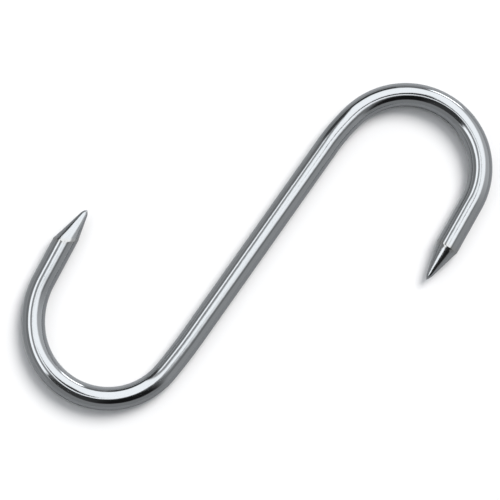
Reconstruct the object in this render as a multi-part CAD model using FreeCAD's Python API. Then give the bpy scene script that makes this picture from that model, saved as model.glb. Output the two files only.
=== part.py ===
import FreeCAD, Part
import math
import os

# S-shaped meat hook, bent cold from one round stainless steel bar and ground to a point at each end.
# Millimetres. The hook lies flat with its shank along Y and +Z up. The upper bend is at +Y and its point
# is on the +X side. The lower bend is at -Y and its point is on the -X side. The origin is the centre of
# the bounding box's underside.

BAR_DIAMETER = 8.0
BAR_RADIUS = BAR_DIAMETER / 2
SHANK_LENGTH = 78.7

# Each end is bent away from the shank in arcs of (centreline radius, turn in degrees), and then runs
# straight to the shoulder where its point begins.
# tail: the straight run up to the middle of the shoulder.
# point_length: from there to the tip.
# shoulder_offset, tip_offset: how far the point's own axis lies from the bar's axis, towards the shank, at
# the shoulder and at the tip, because the points are ground by hand and lean a little.
# nose_length, nose_radius: the blunter end of the point, past its straight flank.
UPPER_END = {
    "arcs": [(70.0, 11.1), (25.7, 102.9), (24.3, 60.0)],
    "tail": 17.0,
    "point_length": 13.2,
    "shoulder_offset": 0.0,
    "tip_offset": 0.7,
    "nose_length": 2.3,
    "nose_radius": 1.15,
}
LOWER_END = {
    "arcs": [(204.0, 4.4), (25.4, 131.6), (29.9, 37.0)],
    "tail": 15.1,
    "point_length": 12.9,
    "shoulder_offset": 0.4,
    "tip_offset": 1.65,
    "nose_length": 1.9,
    "nose_radius": 1.3,
}

BLANK_ALLOWANCE = 3.0
GRINDING_RADIUS = 1.6 * BAR_RADIUS

UP = FreeCAD.Vector(0, 0, 1)
ORIGIN = FreeCAD.Vector(0, 0, 0)


def direction(angle):
    return FreeCAD.Vector(math.cos(angle), math.sin(angle), 0)


def right_of(angle):
    return direction(angle - math.pi / 2)


def arc_edge(start, heading, radius, turn):
    """A clockwise arc, with the point and the heading at its end."""
    centre = start + right_of(heading) * radius
    middle = centre - right_of(heading - turn / 2) * radius
    end = centre - right_of(heading - turn) * radius
    return Part.Arc(start, middle, end).toShape(), end, heading - turn


def bent_end(end):
    """The centreline from the middle of the shank to the start of the tail, and the tail's heading."""
    heading = math.pi / 2
    point = direction(heading) * (SHANK_LENGTH / 2)
    edges = [Part.LineSegment(ORIGIN, point).toShape()]
    for radius, degrees in end["arcs"]:
        edge, point, heading = arc_edge(point, heading, radius, math.radians(degrees))
        edges.append(edge)
    return edges, point, heading


def blank_half(end):
    """Half of the bent bar before grinding: a disc swept from the middle of the shank past the tip."""
    edges, tail_start, heading = bent_end(end)
    blank_end = tail_start + direction(heading) * (end["tail"] + end["point_length"] + BLANK_ALLOWANCE)
    edges.append(Part.LineSegment(tail_start, blank_end).toShape())
    section = Part.Wire([Part.makeCircle(BAR_RADIUS, ORIGIN, direction(math.pi / 2))])
    return Part.Wire(edges).makePipeShell([section], True, False)


def nose_arc(flank_end, slope):
    """The arc from the tip, at the origin, back to flank_end, where it is tangent to the flank."""
    inward = FreeCAD.Vector(slope, -1, 0).normalize()
    radius = flank_end.dot(flank_end) / (-2 * flank_end.dot(inward))
    centre = flank_end + inward * radius
    middle = (flank_end - centre * 2).normalize() * radius + centre
    return Part.Arc(ORIGIN, middle, flank_end).toShape()


def grinding_outline(end):
    """Half the section of what grinding takes off, as (distance behind the tip, distance off its axis)."""
    flank_end = FreeCAD.Vector(end["nose_length"], end["nose_radius"], 0)
    slope = (BAR_RADIUS - end["nose_radius"]) / (end["point_length"] - end["nose_length"])
    flank_run = (GRINDING_RADIUS - end["nose_radius"]) / slope
    rim = FreeCAD.Vector(end["nose_length"] + flank_run, GRINDING_RADIUS, 0)
    outer_end = FreeCAD.Vector(-2 * BLANK_ALLOWANCE, GRINDING_RADIUS, 0)
    axis_end = FreeCAD.Vector(-2 * BLANK_ALLOWANCE, 0, 0)
    return [
        nose_arc(flank_end, slope),
        Part.LineSegment(flank_end, rim).toShape(),
        Part.LineSegment(rim, outer_end).toShape(),
        Part.LineSegment(outer_end, axis_end).toShape(),
        Part.LineSegment(axis_end, ORIGIN).toShape(),
    ]


def ground_away(end):
    """What grinding takes off: a ring whose hollow is the finished point."""
    _, tail_start, heading = bent_end(end)
    along = direction(heading)
    inward = right_of(heading)
    shoulder = tail_start + along * end["tail"] + inward * end["shoulder_offset"]
    tip = tail_start + along * (end["tail"] + end["point_length"]) + inward * end["tip_offset"]
    ring = Part.Face(Part.Wire(grinding_outline(end))).revolve(ORIGIN, FreeCAD.Vector(1, 0, 0), 360)
    backwards = (shoulder - tip).normalize()
    ring.Placement = FreeCAD.Placement(tip, FreeCAD.Rotation(FreeCAD.Vector(1, 0, 0), backwards))
    return ring


def pointed_half(end):
    return blank_half(end).cut(ground_away(end))


def hook_bar():
    """The whole hook: the lower half is turned half a turn about Z, so that the two bends make an S."""
    upper = pointed_half(UPPER_END)
    lower = pointed_half(LOWER_END)
    lower.rotate(ORIGIN, UP, 180)
    return upper.fuse(lower).removeSplitter().Solids[0]


def at_origin(shape):
    """Moves the shape so that the origin is the centre of its bounding box's underside."""
    box = shape.optimalBoundingBox(False, False)
    shape.translate(FreeCAD.Vector(-box.Center.x, -box.Center.y, -box.ZMin))
    return shape


os.makedirs("parts", exist_ok=True)
at_origin(hook_bar()).exportStep("parts/hook_bar.step")
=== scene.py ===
import math

import bpy
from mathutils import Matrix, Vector, noise


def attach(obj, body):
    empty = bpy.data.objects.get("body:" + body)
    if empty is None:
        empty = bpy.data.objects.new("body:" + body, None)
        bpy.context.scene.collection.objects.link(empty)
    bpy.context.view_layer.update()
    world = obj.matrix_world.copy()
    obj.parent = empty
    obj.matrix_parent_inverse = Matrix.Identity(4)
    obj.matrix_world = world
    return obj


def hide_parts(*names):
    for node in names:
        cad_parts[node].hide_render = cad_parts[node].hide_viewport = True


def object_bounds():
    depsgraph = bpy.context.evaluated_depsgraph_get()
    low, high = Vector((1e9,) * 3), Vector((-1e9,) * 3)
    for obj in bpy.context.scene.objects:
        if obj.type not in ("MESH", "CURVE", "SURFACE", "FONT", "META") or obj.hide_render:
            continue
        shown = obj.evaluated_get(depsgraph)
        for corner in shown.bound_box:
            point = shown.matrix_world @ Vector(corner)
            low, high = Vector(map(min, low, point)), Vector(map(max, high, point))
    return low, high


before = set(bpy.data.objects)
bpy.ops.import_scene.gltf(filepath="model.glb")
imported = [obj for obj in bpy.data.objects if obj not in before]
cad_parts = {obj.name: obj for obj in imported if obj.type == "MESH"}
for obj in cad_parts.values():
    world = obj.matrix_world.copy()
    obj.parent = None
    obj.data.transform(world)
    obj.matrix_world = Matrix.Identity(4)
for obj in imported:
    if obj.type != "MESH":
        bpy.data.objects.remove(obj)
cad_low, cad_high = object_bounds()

# The looks of the S-shaped meat hook. Its one solid is replaced by a finer mesh swept along the same
# centreline from the same dimensions, with the small marks that drawing, polishing, grinding and use
# leave. Metres, in the row frame: the hook lies flat with its shank along Y and +Z up.

MM = 0.001
UP = Vector((0, 0, 1))
ORIGIN = Vector((0, 0, 0))

# ---------------------------------------------------------------- dimensions, as in the part's source

BAR_RADIUS = (cad_high.z - cad_low.z) / 2
SHANK_LENGTH = 78.7 * MM
UPPER_END = {
    "arcs": [(70.0 * MM, 11.1), (25.7 * MM, 102.9), (24.3 * MM, 60.0)],
    "tail": 17.0 * MM,
    "point_length": 13.2 * MM,
    "shoulder_offset": 0.0,
    "tip_offset": 0.7 * MM,
    "nose_length": 2.3 * MM,
    "nose_radius": 1.15 * MM,
}
LOWER_END = {
    "arcs": [(204.0 * MM, 4.4), (25.4 * MM, 131.6), (29.9 * MM, 37.0)],
    "tail": 15.1 * MM,
    "point_length": 12.9 * MM,
    "shoulder_offset": 0.4 * MM,
    "tip_offset": 1.65 * MM,
    "nose_length": 1.9 * MM,
    "nose_radius": 1.3 * MM,
}

# ---------------------------------------------------------------- mesh fineness

RING_POINTS = 96
RING_SPACING = 0.55 * MM
POINT_RING_SPACING = 0.3 * MM
NOSE_RINGS = 10
SHOULDER_ROUNDING = 0.1 * MM
HALVINGS = 40

# ---------------------------------------------------------------- unevenness left by polishing and grinding

POLISH_DEPTH = 0.004 * MM
WAVE_LENGTH = 22.0 * MM
WAVE_WIDTH = 4.0 * MM
WAVE_DEPTH = 0.02 * MM
FACET_LENGTH = 7.0 * MM
FACET_WIDTH = 2.4 * MM
FACET_DEPTH = 0.16 * MM
FACET_START = 1.2 * MM

# ---------------------------------------------------------------- shape


def direction(angle):
    return Vector((math.cos(angle), math.sin(angle), 0))


def right_of(angle):
    return direction(angle - math.pi / 2)


def bent_stations(end):
    """Evenly spaced (centre, heading, run) from the middle of the shank to the start of the tail."""
    stretches = [(None, SHANK_LENGTH / 2)]
    stretches += [(radius, radius * math.radians(turn)) for radius, turn in end["arcs"]]
    stations = []
    point, heading, run = ORIGIN, math.pi / 2, 0.0
    for radius, length in stretches:
        steps = math.ceil(length / RING_SPACING)
        for step in range(steps):
            distance = length * step / steps
            stations.append(travel(point, heading, radius, distance) + (run + distance,))
        point, heading = travel(point, heading, radius, length)
        run += length
    return stations, point, heading, run


def travel(point, heading, radius, distance):
    """Where a clockwise arc, or a straight run where radius is None, arrives after a distance."""
    if radius is None:
        return point + direction(heading) * distance, heading
    centre = point + right_of(heading) * radius
    new_heading = heading - distance / radius
    return centre - right_of(new_heading) * radius, new_heading


class Point:
    """One end's ground point: a cone with a round nose, about an axis of its own that leans a little."""

    def __init__(self, end, tail_start, heading):
        along = direction(heading)
        inward = right_of(heading)
        shoulder = tail_start + along * end["tail"] + inward * end["shoulder_offset"]
        self.tip = tail_start + along * (end["tail"] + end["point_length"]) + inward * end["tip_offset"]
        self.backwards = (shoulder - self.tip).normalized()
        self.sideways = UP.cross(self.backwards)
        self.nose_length = end["nose_length"]
        self.nose_radius = end["nose_radius"]
        self.slope = (BAR_RADIUS - self.nose_radius) / (end["point_length"] - self.nose_length)
        flank_end = Vector((self.nose_length, self.nose_radius))
        inward_normal = Vector((self.slope, -1)).normalized()
        self.arc_radius = flank_end.dot(flank_end) / (-2 * flank_end.dot(inward_normal))
        self.arc_centre = flank_end + inward_normal * self.arc_radius

    def radius_at(self, depth):
        """The point's radius at a depth behind its tip."""
        if depth >= self.nose_length:
            return self.nose_radius + self.slope * (depth - self.nose_length)
        return self.arc_centre.y + math.sqrt(self.arc_radius ** 2 - (depth - self.arc_centre.x) ** 2)

    def coordinates(self, position):
        """(depth behind the tip, distance from the axis, angle about it) of a position."""
        offset = position - self.tip
        depth = offset.dot(self.backwards)
        side = offset.dot(self.sideways)
        return depth, math.hypot(side, offset.z), math.atan2(offset.z, side)

    def position(self, depth, radius, angle):
        across = self.sideways * math.cos(angle) + UP * math.sin(angle)
        return self.tip + self.backwards * depth + across * radius


def ring_angle(index):
    return 2 * math.pi * index / RING_POINTS


def across(heading, angle):
    return right_of(heading) * math.cos(angle) + UP * math.sin(angle)


def shoulder_run(point, tail_start, heading, angle, farthest):
    """How far past the start of the tail the point's cone cuts into the bar, at an angle round it."""
    low, high = 0.0, farthest
    for _ in range(HALVINGS):
        middle = (low + high) / 2
        depth, radius, _ = point.coordinates(
            tail_start + direction(heading) * middle + across(heading, angle) * BAR_RADIUS
        )
        if radius < point.radius_at(depth):
            low = middle
        else:
            high = middle
    return low


def half_rings(end):
    """One half's rings of (position, run along the bar, distance past the shoulder), and its tip."""
    stations, tail_start, heading, tail_run = bent_stations(end)
    point = Point(end, tail_start, heading)
    along = direction(heading)
    farthest = end["tail"] + end["point_length"]
    angles = [ring_angle(index) for index in range(RING_POINTS)]
    shoulders = [shoulder_run(point, tail_start, heading, angle, farthest) for angle in angles]

    rings = []
    for centre, station_heading, run in stations:
        rings.append(
            [
                (centre + across(station_heading, angle) * BAR_RADIUS, run, run - tail_run - shoulder)
                for angle, shoulder in zip(angles, shoulders)
            ]
        )

    def on_bar(distance, angle, shoulder):
        position = tail_start + along * distance + across(heading, angle) * BAR_RADIUS
        return position, tail_run + distance, distance - shoulder

    tail_steps = math.ceil((min(shoulders) - SHOULDER_ROUNDING) / POINT_RING_SPACING)
    for step in range(tail_steps + 1):
        share = step / tail_steps
        rings.append(
            [
                on_bar((shoulder - SHOULDER_ROUNDING) * share, angle, shoulder)
                for angle, shoulder in zip(angles, shoulders)
            ]
        )

    corners = [on_bar(shoulder, angle, shoulder) for angle, shoulder in zip(angles, shoulders)]
    on_point = [point.coordinates(position) for position, _, _ in corners]

    def past_shoulder(depth, corner_depth, angle, corner_run):
        position = point.position(depth, point.radius_at(depth), angle)
        return position, corner_run + corner_depth - depth, corner_depth - depth

    flank = []
    flank_steps = math.ceil((end["point_length"] - point.nose_length) / POINT_RING_SPACING)
    for step in range(flank_steps + 1):
        share = step / flank_steps
        ring = []
        for (corner_depth, _, angle), (_, corner_run, _) in zip(on_point, corners):
            first = corner_depth - SHOULDER_ROUNDING
            depth = first + (point.nose_length - first) * share
            ring.append(past_shoulder(depth, corner_depth, angle, corner_run))
        flank.append(ring)

    rings.append(
        [
            ((corner[0] * 2 + before[0] + after[0]) / 4, corner[1], 0.0)
            for corner, before, after in zip(corners, rings[-1], flank[0])
        ]
    )
    rings += flank

    for step in range(1, NOSE_RINGS):
        depth = point.nose_length * (1 - math.sin(math.pi / 2 * step / NOSE_RINGS))
        rings.append(
            [
                past_shoulder(depth, corner_depth, angle, corner_run)
                for (corner_depth, _, angle), (_, corner_run, _) in zip(on_point, corners)
            ]
        )
    tip = (point.tip, tail_run + farthest, end["point_length"])
    return rings, tip


def turned(ring):
    """A lower-end ring, turned half a turn about Z and counted round the same way as the upper end's."""
    half = RING_POINTS // 2
    points = [ring[(half - index) % RING_POINTS] for index in range(RING_POINTS)]
    return [turned_sample(sample) for sample in points]


def turned_sample(sample):
    position, run, past = sample
    return Vector((-position.x, -position.y, position.z)), -run, past


def hook_samples():
    """All rings from the lower tip to the upper tip, and the two tips."""
    upper, upper_tip = half_rings(UPPER_END)
    lower, lower_tip = half_rings(LOWER_END)
    rings = [turned(ring) for ring in reversed(lower[1:])] + upper
    return rings, turned_sample(lower_tip), upper_tip


def hook_faces(ring_count):
    faces = []
    for ring in range(ring_count - 1):
        for index in range(RING_POINTS):
            following = (index + 1) % RING_POINTS
            base = ring * RING_POINTS
            faces.append(
                (base + index, base + following, base + RING_POINTS + following, base + RING_POINTS + index)
            )
    lower_tip = ring_count * RING_POINTS
    upper_tip = lower_tip + 1
    last = (ring_count - 1) * RING_POINTS
    for index in range(RING_POINTS):
        following = (index + 1) % RING_POINTS
        faces.append((lower_tip, following, index))
        faces.append((last + index, last + following, upper_tip))
    return faces


def bar_place(run, angle):
    """A place on the bar as if it were straight: how far along it, and where in its round section."""
    return Vector((run, BAR_RADIUS * math.cos(angle), BAR_RADIUS * math.sin(angle)))


def hollow(place, length, width, depth):
    """A smooth random depth from 0 to depth, whose hollows are length along the bar and width round it."""
    cell = Vector((place.x / length, place.y / width, place.z / width))
    return depth * (1 + noise.noise(cell)) / 2


def ease(value, width):
    """0 up to 0 and 1 from width on, with no corner between."""
    share = min(max(value / width, 0.0), 1.0)
    return share * share * (3 - 2 * share)


def worn_ring(ring):
    """A ring's positions, each pressed in by the polishing wheel's and the grinder's unevenness."""
    middle = sum((position for position, _, _ in ring), ORIGIN) / RING_POINTS
    positions = []
    for index, (position, run, past) in enumerate(ring):
        place = bar_place(run, ring_angle(index))
        depth = POLISH_DEPTH + hollow(place, WAVE_LENGTH, WAVE_WIDTH, WAVE_DEPTH)
        depth += hollow(place, FACET_LENGTH, FACET_WIDTH, FACET_DEPTH) * ease(past, FACET_START)
        inwards = middle - position
        positions.append(position + inwards * depth / BAR_RADIUS)
    return positions


def hook_mesh():
    rings, lower_tip, upper_tip = hook_samples()
    tips = [lower_tip, upper_tip]
    positions = [position for ring in rings for position in worn_ring(ring)]
    positions += [position for position, _, _ in tips]
    places = [
        bar_place(run, ring_angle(index))
        for ring in rings
        for index, (_, run, _) in enumerate(ring)
    ]
    places += [Vector((run, 0, 0)) for _, run, _ in tips]
    past_shoulder = [past for ring in rings for _, _, past in ring]
    past_shoulder += [past for _, _, past in tips]

    xs = [position.x for position in positions]
    ys = [position.y for position in positions]
    centre = (cad_low + cad_high) / 2
    shift = Vector((centre.x - (min(xs) + max(xs)) / 2, centre.y - (min(ys) + max(ys)) / 2, centre.z))
    mesh = bpy.data.meshes.new("hook")
    mesh.from_pydata([position + shift for position in positions], [], hook_faces(len(rings)))
    mesh.polygons.foreach_set("use_smooth", [True] * len(mesh.polygons))
    place_attribute = mesh.attributes.new("bar_place", "FLOAT_VECTOR", "POINT")
    place_attribute.data.foreach_set("vector", [number for place in places for number in place])
    past_attribute = mesh.attributes.new("past_shoulder", "FLOAT", "POINT")
    past_attribute.data.foreach_set("value", past_shoulder)
    mesh.update()
    return mesh


def hook_piece():
    hook = bpy.data.objects.new("hook", hook_mesh())
    bpy.context.scene.collection.objects.link(hook)
    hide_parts("hook_bar")
    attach(hook, "root")
    return hook


# ---------------------------------------------------------------- node helpers


def fill_sockets(tree, node, inputs):
    for socket, value in inputs:
        if isinstance(value, bpy.types.NodeSocket):
            tree.links.new(value, node.inputs[socket])
        else:
            node.inputs[socket].default_value = value


def add_node(tree, kind, inputs=(), **settings):
    """A node with its settings made, and then its sockets filled or linked."""
    node = tree.nodes.new(kind)
    for name, value in settings.items():
        setattr(node, name, value)
    fill_sockets(tree, node, inputs)
    return node


def calculate(tree, operation, first, second=0.0, third=0.0):
    inputs = [(0, first), (1, second), (2, third)]
    return add_node(tree, "ShaderNodeMath", inputs, operation=operation).outputs[0]


def smooth_step(tree, value, start, end):
    """0 before start and 1 past end, whichever of the two is larger."""
    node = add_node(
        tree,
        "ShaderNodeMapRange",
        [("Value", value), ("From Min", start), ("From Max", end)],
        interpolation_type="SMOOTHSTEP",
    )
    return node.outputs["Result"]


def blend_values(tree, share, first, second):
    node = add_node(tree, "ShaderNodeMix", [("Factor", share), ("A", first), ("B", second)])
    return node.outputs["Result"]


# ---------------------------------------------------------------- materials


# The bright-polished stainless bar: reflectance, then roughness and the marks in its surface. Marks are
# given as (length along the bar, width round it) and heights.
STEEL_BRIGHT = (0.625, 0.632, 0.64, 1)
STEEL_DULL = (0.575, 0.582, 0.592, 1)
SHOULDER_TINT = (0.58, 0.555, 0.52, 1)
TINT_LENGTH = 1.8 * MM
TINT_SHARE = 0.45

POLISHED_ROUGHNESS = (0.03, 0.13)
GROUND_ROUGHNESS = (0.1, 0.2)
SCUFFED_ROUGHNESS = 0.22

CLOUD_GRAIN = (24.0 * MM, 5.0 * MM)
DRAW_LINE_GRAIN = (16.0 * MM, 0.22 * MM)
DRAW_LINE_HEIGHT = 0.0015 * MM
RIPPLE_GRAIN = (2.6 * MM, 1.4 * MM)
RIPPLE_HEIGHT = 0.012 * MM
GRIND_GRAIN = (0.09 * MM, 2.5 * MM)
GRIND_HEIGHT = 0.006 * MM
SCRATCH_GRAIN = (9.0 * MM, 0.9 * MM)
SCRATCH_WIDTH = 0.012
SCRATCH_DEPTH = 0.0015 * MM
SCUFF_GRAIN = (1.3 * MM, 0.7 * MM)
SCUFF_DEPTH = 0.004 * MM

# Noise above a threshold makes a mark. Wear takes its amount off the threshold, and softness is how far
# above it a mark is at full strength.
SCRATCH_THRESHOLD = 0.6
SCRATCH_WEAR = 0.14
SCRATCH_SOFTNESS = 0.06
SCUFF_THRESHOLD = 0.735
SCUFF_WEAR = 0.05
SCUFF_SOFTNESS = 0.03
NOISE_MIDDLE = 0.5

# The insides of the two bends rub on the rail and on the meat. A place's run times how far it lies to the
# right of the centreline is greatest there on both: wear starts and is full at these products, and it
# fades out again between these runs.
SEAT_SIDE = (60.0 * MM * 2.0 * MM, 80.0 * MM * 3.8 * MM)
SEAT_RUN_END = (104.0 * MM, 118.0 * MM)


def grain(tree, place, size, detail=2.0):
    """Noise from 0 to 1 with a grain of (length along the bar, width round it)."""
    length, width = size
    scaling = (1 / length, 1 / width, 1 / width)
    scaled = add_node(tree, "ShaderNodeVectorMath", [(0, place), (1, scaling)], operation="MULTIPLY")
    inputs = [("Vector", scaled.outputs[0]), ("Scale", 1.0), ("Detail", detail)]
    return add_node(tree, "ShaderNodeTexNoise", inputs).outputs[0]


def raised(tree, height, distance, below=None):
    """The normal bent by a height of 0 to 1 times a distance, over the normal below it."""
    inputs = [("Strength", 1.0), ("Distance", distance), ("Height", height)]
    if below is not None:
        inputs.append(("Normal", below))
    return add_node(tree, "ShaderNodeBump", inputs).outputs["Normal"]


def blend_colours(tree, share, first, second):
    node = add_node(tree, "ShaderNodeMix", data_type="RGBA")
    fill_sockets(tree, node, [(0, share), (6, first), (7, second)])
    return node.outputs[2]


def seat_wear(tree, place):
    """1 on the insides of the two bends and 0 elsewhere."""
    parts = add_node(tree, "ShaderNodeSeparateXYZ", [(0, place)])
    run = parts.outputs["X"]
    inside = smooth_step(tree, calculate(tree, "MULTIPLY", run, parts.outputs["Y"]), *SEAT_SIDE)
    beyond = smooth_step(tree, calculate(tree, "ABSOLUTE", run), *SEAT_RUN_END)
    return calculate(tree, "MULTIPLY", inside, calculate(tree, "SUBTRACT", 1.0, beyond))


def fine_scratches(tree, place, wear):
    """1 along a few hair-thin scratches that run roughly with the bar, more of them where it is worn."""
    wander = grain(tree, place, SCRATCH_GRAIN, 0.0)
    offset = calculate(tree, "ABSOLUTE", calculate(tree, "SUBTRACT", wander, NOISE_MIDDLE))
    line = smooth_step(tree, offset, SCRATCH_WIDTH, 0.0)
    patch = grain(tree, place, CLOUD_GRAIN, 1.0)
    threshold = calculate(tree, "MULTIPLY_ADD", wear, -SCRATCH_WEAR, SCRATCH_THRESHOLD)
    present = smooth_step(tree, calculate(tree, "SUBTRACT", patch, threshold), 0.0, SCRATCH_SOFTNESS)
    return calculate(tree, "MULTIPLY", line, present)


def small_scuffs(tree, place, wear):
    """1 in a few small dull knocks, more of them where the bar is worn."""
    spots = grain(tree, place, SCUFF_GRAIN, 3.0)
    threshold = calculate(tree, "MULTIPLY_ADD", wear, -SCUFF_WEAR, SCUFF_THRESHOLD)
    return smooth_step(tree, calculate(tree, "SUBTRACT", spots, threshold), 0.0, SCUFF_SOFTNESS)


def polished_steel():
    material = bpy.data.materials.new("polished_steel")
    material.use_nodes = True
    tree = material.node_tree
    shader = tree.nodes["Principled BSDF"]
    shader.inputs["Metallic"].default_value = 1.0

    place = add_node(tree, "ShaderNodeAttribute", attribute_name="bar_place").outputs["Vector"]
    past = add_node(tree, "ShaderNodeAttribute", attribute_name="past_shoulder").outputs["Fac"]
    ground = smooth_step(tree, past, 0.0, SHOULDER_ROUNDING)
    wear = seat_wear(tree, place)
    clouds = grain(tree, place, CLOUD_GRAIN)
    draw_lines = grain(tree, place, DRAW_LINE_GRAIN, 3.0)
    ripple = grain(tree, place, RIPPLE_GRAIN, 1.0)
    grind_marks = grain(tree, place, GRIND_GRAIN, 3.0)
    scratches = fine_scratches(tree, place, wear)
    scuffs = small_scuffs(tree, place, wear)

    steel = blend_colours(tree, calculate(tree, "MULTIPLY", clouds, draw_lines), STEEL_BRIGHT, STEEL_DULL)
    nearness = smooth_step(tree, calculate(tree, "ABSOLUTE", past), TINT_LENGTH, 0.0)
    tinted = blend_colours(tree, calculate(tree, "MULTIPLY", nearness, TINT_SHARE), steel, SHOULDER_TINT)
    tree.links.new(tinted, shader.inputs["Base Color"])

    streaky = calculate(tree, "MULTIPLY", calculate(tree, "ADD", clouds, draw_lines), 0.5)
    polished = blend_values(tree, streaky, *POLISHED_ROUGHNESS)
    rough_ground = blend_values(tree, grind_marks, *GROUND_ROUGHNESS)
    roughness = blend_values(tree, ground, polished, rough_ground)
    marks = calculate(tree, "MAXIMUM", scratches, scuffs)
    roughness = blend_values(tree, marks, roughness, SCUFFED_ROUGHNESS)
    tree.links.new(roughness, shader.inputs["Roughness"])

    normal = raised(tree, ripple, RIPPLE_HEIGHT)
    normal = raised(tree, draw_lines, DRAW_LINE_HEIGHT, normal)
    normal = raised(tree, calculate(tree, "MULTIPLY", grind_marks, ground), GRIND_HEIGHT, normal)
    normal = raised(tree, calculate(tree, "SUBTRACT", 1.0, scratches), SCRATCH_DEPTH, normal)
    normal = raised(tree, calculate(tree, "SUBTRACT", 1.0, scuffs), SCUFF_DEPTH, normal)
    tree.links.new(normal, shader.inputs["Normal"])
    return material


def table_white():
    """The table looks white to the camera, as a cut-out background does, and darker in reflections."""
    material = bpy.data.materials.new("table_white")
    material.use_nodes = True
    tree = material.node_tree
    tree.nodes.clear()
    rays = add_node(tree, "ShaderNodeLightPath")
    seen = add_node(tree, "ShaderNodeBsdfDiffuse", [("Color", TABLE_SEEN)])
    reflected = add_node(tree, "ShaderNodeBsdfDiffuse", [("Color", TABLE_REFLECTED)])
    gloss_inputs = [("Color", TABLE_GLOSS), ("Roughness", TABLE_GLOSS_ROUGHNESS)]
    sheen = add_node(tree, "ShaderNodeBsdfGlossy", gloss_inputs)
    both = add_node(tree, "ShaderNodeAddShader", [(0, reflected.outputs[0]), (1, sheen.outputs[0])])
    choice = add_node(
        tree,
        "ShaderNodeMixShader",
        [(0, rays.outputs["Is Camera Ray"]), (1, both.outputs[0]), (2, seen.outputs[0])],
    )
    add_node(tree, "ShaderNodeOutputMaterial", [("Surface", choice.outputs[0])])
    return material


# ---------------------------------------------------------------- stage, light and camera

# The camera looks straight down with the hook laid slantwise, so its picture's right is this many degrees
# round from +X.
CAMERA_TURN = 35.23
CAMERA_SHIFT = Vector((-0.54 * MM, -2.31 * MM, 0))
CAMERA_LENS = 200.0
SENSOR_WIDTH = 36.0
PICTURE_WIDTH = 169.9 * MM
CLIP_NEAR = 0.1
CLIP_FAR = 10.0

TABLE_SIZE = 40.0
TABLE_GAP = 0.02 * MM
TABLE_SEEN = (0.77, 0.765, 0.77, 1)
TABLE_REFLECTED = (0.184, 0.19, 0.196, 1)
TABLE_GLOSS = (0.18, 0.18, 0.18, 1)
TABLE_GLOSS_ROUGHNESS = 0.25

SURROUNDINGS = 0.36
BACKGROUND_SEEN = 1.0
SKY_TINT = (0.965, 1.0, 1.03, 1)
WHITE = (1, 1, 1, 1)

KEY_AZIMUTH = 50.0
KEY_ZENITH = 42.0
KEY_STRENGTH = 2.85
KEY_COLOUR = (1.0, 0.985, 0.965)
KEY_ANGLE = 30.0

# The studio round the hook, as panels of light or dark in the sky, later ones over earlier ones. Each has
# its radiance and its corners, as (azimuth, zenith angle, softness of the edge that starts there) in
# degrees. Azimuths go anticlockwise from the picture's right.
SKY_PANELS = {
    "right_wall": (0.55, [(-15, 20, 24), (-15, 120, 10), (48, 120, 10), (48, 40, 10)]),
    "right_gap": (0.22, [(-48, 28, 6), (-48, 46, 12), (-22, 46, 10), (-22, 28, 6)]),
    "lower_wall": (0.26, [(222, 40, 6), (222, 120, 10), (310, 120, 10), (310, 40, 10)]),
    "left_gap": (0.24, [(142, 55, 4), (142, 82, 10), (224, 76, 10), (224, 50, 4)]),
    "top_gap": (0.06, [(92, 60, 4), (92, 110, 10), (142, 110, 6), (142, 60, 4)]),
    "top_haze": (0.2, [(66, 60, 4), (66, 110, 10), (92, 110, 10), (92, 60, 4)]),
    "low_lamp": (4.0, [(47, 82, 6), (47, 100, 3), (70, 100, 6), (70, 82, 3)]),
    "window": (1.5, [(140, 62, 4), (140, 51, 4), (222, 25, 2), (222, 54, 6), (156, 54, 6)]),
    "softbox": (
        1.4,
        [
            (128, 69, 3),
            (180, 12, 4),
            (260, 7, 4),
            (-46, 19, 14),
            (-29, 29, 12),
            (0, 44, 16),
            (30, 60, 10),
            (55, 72, 6),
            (90, 71, 6),
        ],
    ),
    "black_curtain": (0.01, [(228, 3.8, 2), (218, 46, 6), (253, 51, 6), (308, 62, 12), (290, 4.2, 2)]),
    "grey_curtain": (0.05, [(250, 4.5, 2), (218, 46, 6), (258, 51, 10)]),
    "boom": (0.02, [(118, 4.7, 2), (10, 5.2, 2), (39, 10.3, 4), (66, 24, 3), (98, 11, 2)]),
}


def table():
    bpy.ops.mesh.primitive_plane_add(size=TABLE_SIZE, location=(0, 0, cad_low.z - TABLE_GAP))
    plane = bpy.context.object
    plane.name = "table"
    plane.data.materials.append(table_white())


def toward(azimuth, zenith):
    """The direction of a place in the sky, by the picture's azimuth and the zenith angle in degrees."""
    level = math.sin(math.radians(zenith))
    return direction(math.radians(azimuth + CAMERA_TURN)) * level + UP * math.cos(math.radians(zenith))


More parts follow.
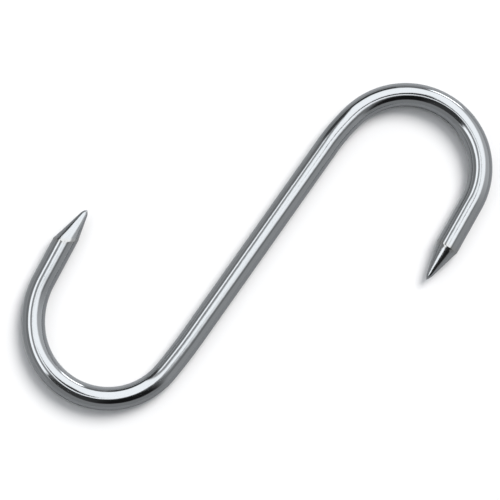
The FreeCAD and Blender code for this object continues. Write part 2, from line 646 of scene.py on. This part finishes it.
def sky_panel(tree, sky_direction, below, radiance, corners):
    """below, with one panel over it. Its mask is the product of one soft step across each edge."""
    directions = [toward(azimuth, zenith) for azimuth, zenith, _ in corners]
    middle = sum(directions, ORIGIN)
    mask = 1.0
    for index, (_, _, softness) in enumerate(corners):
        edge = directions[index].cross(directions[(index + 1) % len(corners)]).normalized()
        if edge.dot(middle) < 0:
            edge = -edge
        inside = add_node(
            tree, "ShaderNodeVectorMath", [(0, sky_direction), (1, edge)], operation="DOT_PRODUCT"
        ).outputs["Value"]
        half = math.sin(math.radians(softness) / 2)
        mask = calculate(tree, "MULTIPLY", mask, smooth_step(tree, inside, -half, half))
    return blend_values(tree, mask, below, radiance)


def sky():
    world = bpy.data.worlds.new("studio")
    bpy.context.scene.world = world
    world.use_nodes = True
    tree = world.node_tree
    tree.nodes.clear()
    position = add_node(tree, "ShaderNodeTexCoord").outputs["Generated"]
    radiance = SURROUNDINGS
    for panel_radiance, corners in SKY_PANELS.values():
        radiance = sky_panel(tree, position, radiance, panel_radiance, corners)
    rays = add_node(tree, "ShaderNodeLightPath")
    seen = rays.outputs["Is Camera Ray"]
    radiance = blend_values(tree, seen, radiance, BACKGROUND_SEEN)
    tint = blend_colours(tree, seen, SKY_TINT, WHITE)
    background = add_node(tree, "ShaderNodeBackground", [("Color", tint), ("Strength", radiance)])
    add_node(tree, "ShaderNodeOutputWorld", [("Surface", background.outputs[0])])


def key_light():
    """The light that casts the shadow. The softbox stands for it in reflections."""
    data = bpy.data.lights.new("key_light", "SUN")
    data.energy = KEY_STRENGTH
    data.color = KEY_COLOUR
    data.angle = math.radians(KEY_ANGLE)
    key = bpy.data.objects.new("key_light", data)
    key.rotation_euler = toward(KEY_AZIMUTH, KEY_ZENITH).to_track_quat("Z", "Y").to_euler()
    key.visible_glossy = False
    bpy.context.scene.collection.objects.link(key)


def camera():
    data = bpy.data.cameras.new("camera")
    data.lens = CAMERA_LENS
    data.sensor_width = SENSOR_WIDTH
    distance = PICTURE_WIDTH * CAMERA_LENS / SENSOR_WIDTH
    data.clip_start = distance * CLIP_NEAR
    data.clip_end = distance * CLIP_FAR
    eye = bpy.data.objects.new("camera", data)
    middle = (cad_low + cad_high) / 2
    eye.location = middle + CAMERA_SHIFT + UP * distance
    eye.rotation_euler = (0, 0, math.radians(CAMERA_TURN))
    bpy.context.scene.collection.objects.link(eye)
    bpy.context.scene.camera = eye


camera()
table()
sky()
key_light()
bpy.context.scene.view_settings.view_transform = "Standard"
hook = hook_piece()
hook.data.materials.append(polished_steel())
